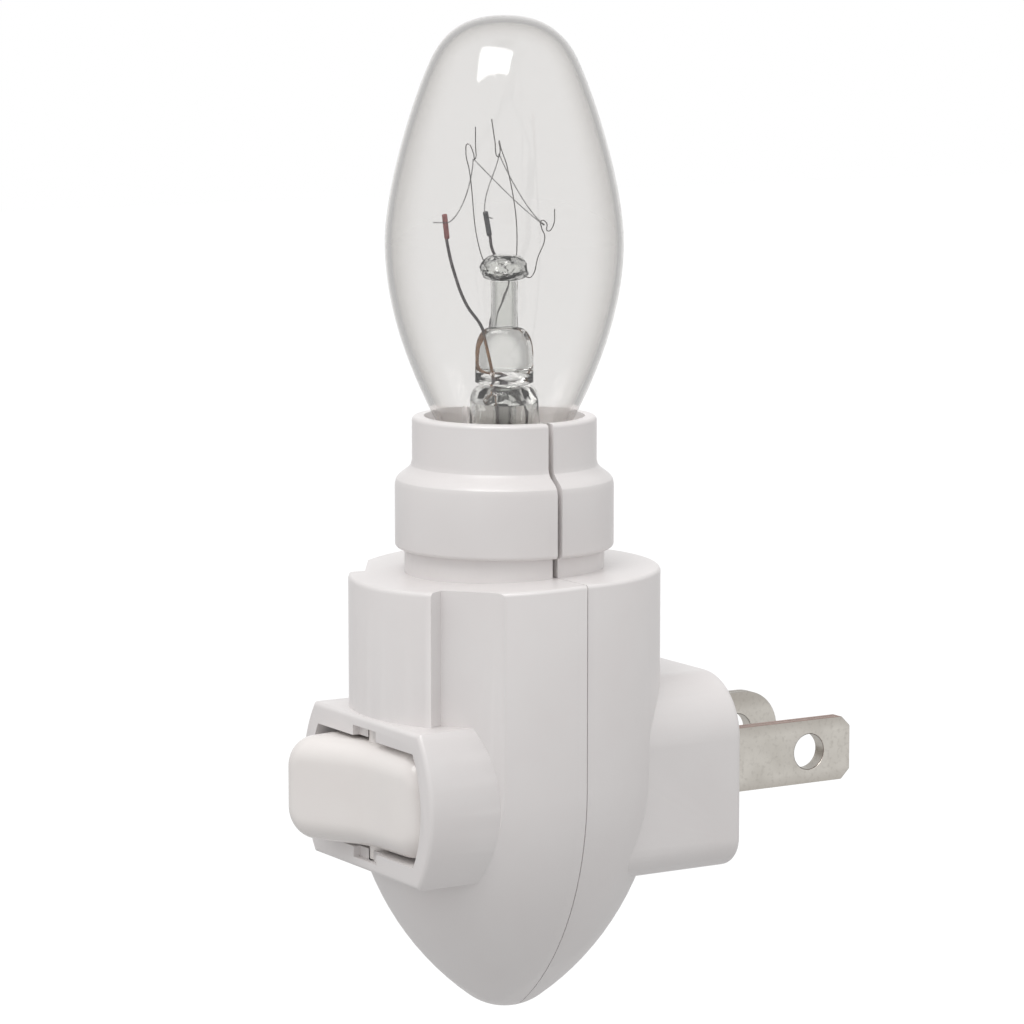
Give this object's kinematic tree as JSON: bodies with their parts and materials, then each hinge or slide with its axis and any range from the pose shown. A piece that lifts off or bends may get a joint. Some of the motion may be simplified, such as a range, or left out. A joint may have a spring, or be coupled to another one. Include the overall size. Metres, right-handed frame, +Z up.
{
  "type": "plug-in night light",
  "caption": "Plug-in night light: a clear candle-shaped lamp in a white two-piece housing with a rocker switch in front and two flat wall blades behind.",
  "frame": {"origin": "on the wall face of the plug block, midway between the two blades at the height of their centre line", "axes": "+Z up along the lamp, +Y into the wall along the blades, +X to the right of a person who faces the light"},
  "size_m": [0.03, 0.0559, 0.0957],
  "materials": {
    "housing_white": "injection-moulded thermoplastic, fine satin",
    "rocker_white": "polished moulded thermoplastic",
    "contact_brass": "stamped strip, satin",
    "spring_steel": "drawn spring wire",
    "contact_silver": "silver contact rivet, satin",
    "blade_nickel": "nickel-plated brass, satin",
    "socket_brass": "drawn brass shell, satin",
    "bulb_glass": "clear soda-lime glass",
    "stem_glass": "clear lead glass",
    "lead_copper": "copper-clad lead wire",
    "molybdenum_wire": "drawn wire",
    "tungsten_coil": "coiled tungsten wire",
    "cap_aluminium": "rolled thin sheet, satin",
    "cap_cement": "baked basing cement",
    "black_glass": "pressed black insulating glass",
    "tip_solder": "soldered contact plate"
  },
  "bodies": {
    "housing": {"front_housing": "housing_white", "rear_housing": "housing_white", "fulcrum_bracket": "contact_brass", "line_contact": "contact_brass", "fixed_stud": "contact_silver", "hot_blade": "blade_nickel", "neutral_blade": "blade_nickel", "socket_shell": "socket_brass", "shell_strap": "contact_brass", "centre_contact": "contact_brass"},
    "rocker": {"rocker_button": "rocker_white", "switch_plunger": "contact_brass", "plunger_spring": "spring_steel"},
    "seesaw": {"seesaw_contact": "contact_brass", "moving_stud": "contact_silver"},
    "bulb_lift": {"cap_contact": "tip_solder"},
    "bulb": {"bulb_glass": "bulb_glass", "stem_flare": "stem_glass", "stem_press": "stem_glass", "stem_rod": "stem_glass", "support_bead": "stem_glass", "exhaust_tube": "stem_glass", "lead_wires": "lead_copper", "support_wires": "molybdenum_wire", "filament": "tungsten_coil", "cap_shell": "cap_aluminium", "cap_cement": "cap_cement", "cap_insulator": "black_glass"}
  },
  "joints": [
    {"name": "rocker_tilt", "type": "hinge", "parent": "housing", "child": "rocker", "pos_m": [0, -0.0331, -0.0006], "axis": [0, 0, -1], "range_deg": [0, 33]},
    {"name": "seesaw_tilt", "type": "hinge", "parent": "housing", "child": "seesaw", "pos_m": [0, -0.0266, -0.0006], "axis": [0, 0, 1], "range_deg": [0, 18]},
    {"name": "bulb_rise", "type": "slide", "parent": "housing", "child": "bulb_lift", "axis": [0, 0, 1], "range_m": [0, 0.01016]},
    {"name": "bulb_turn", "type": "hinge", "parent": "bulb_lift", "child": "bulb", "pos_m": [0, -0.0196, 0.0302], "axis": [0, 0, 1], "range_deg": [0, 1440]}
  ],
  "couplings": [
    {"joint": "seesaw_tilt", "follows": "rocker_tilt", "ratio": 0.54545},
    {"joint": "bulb_turn", "follows": "bulb_rise", "rad_per_m": 2473.7}
  ]
}
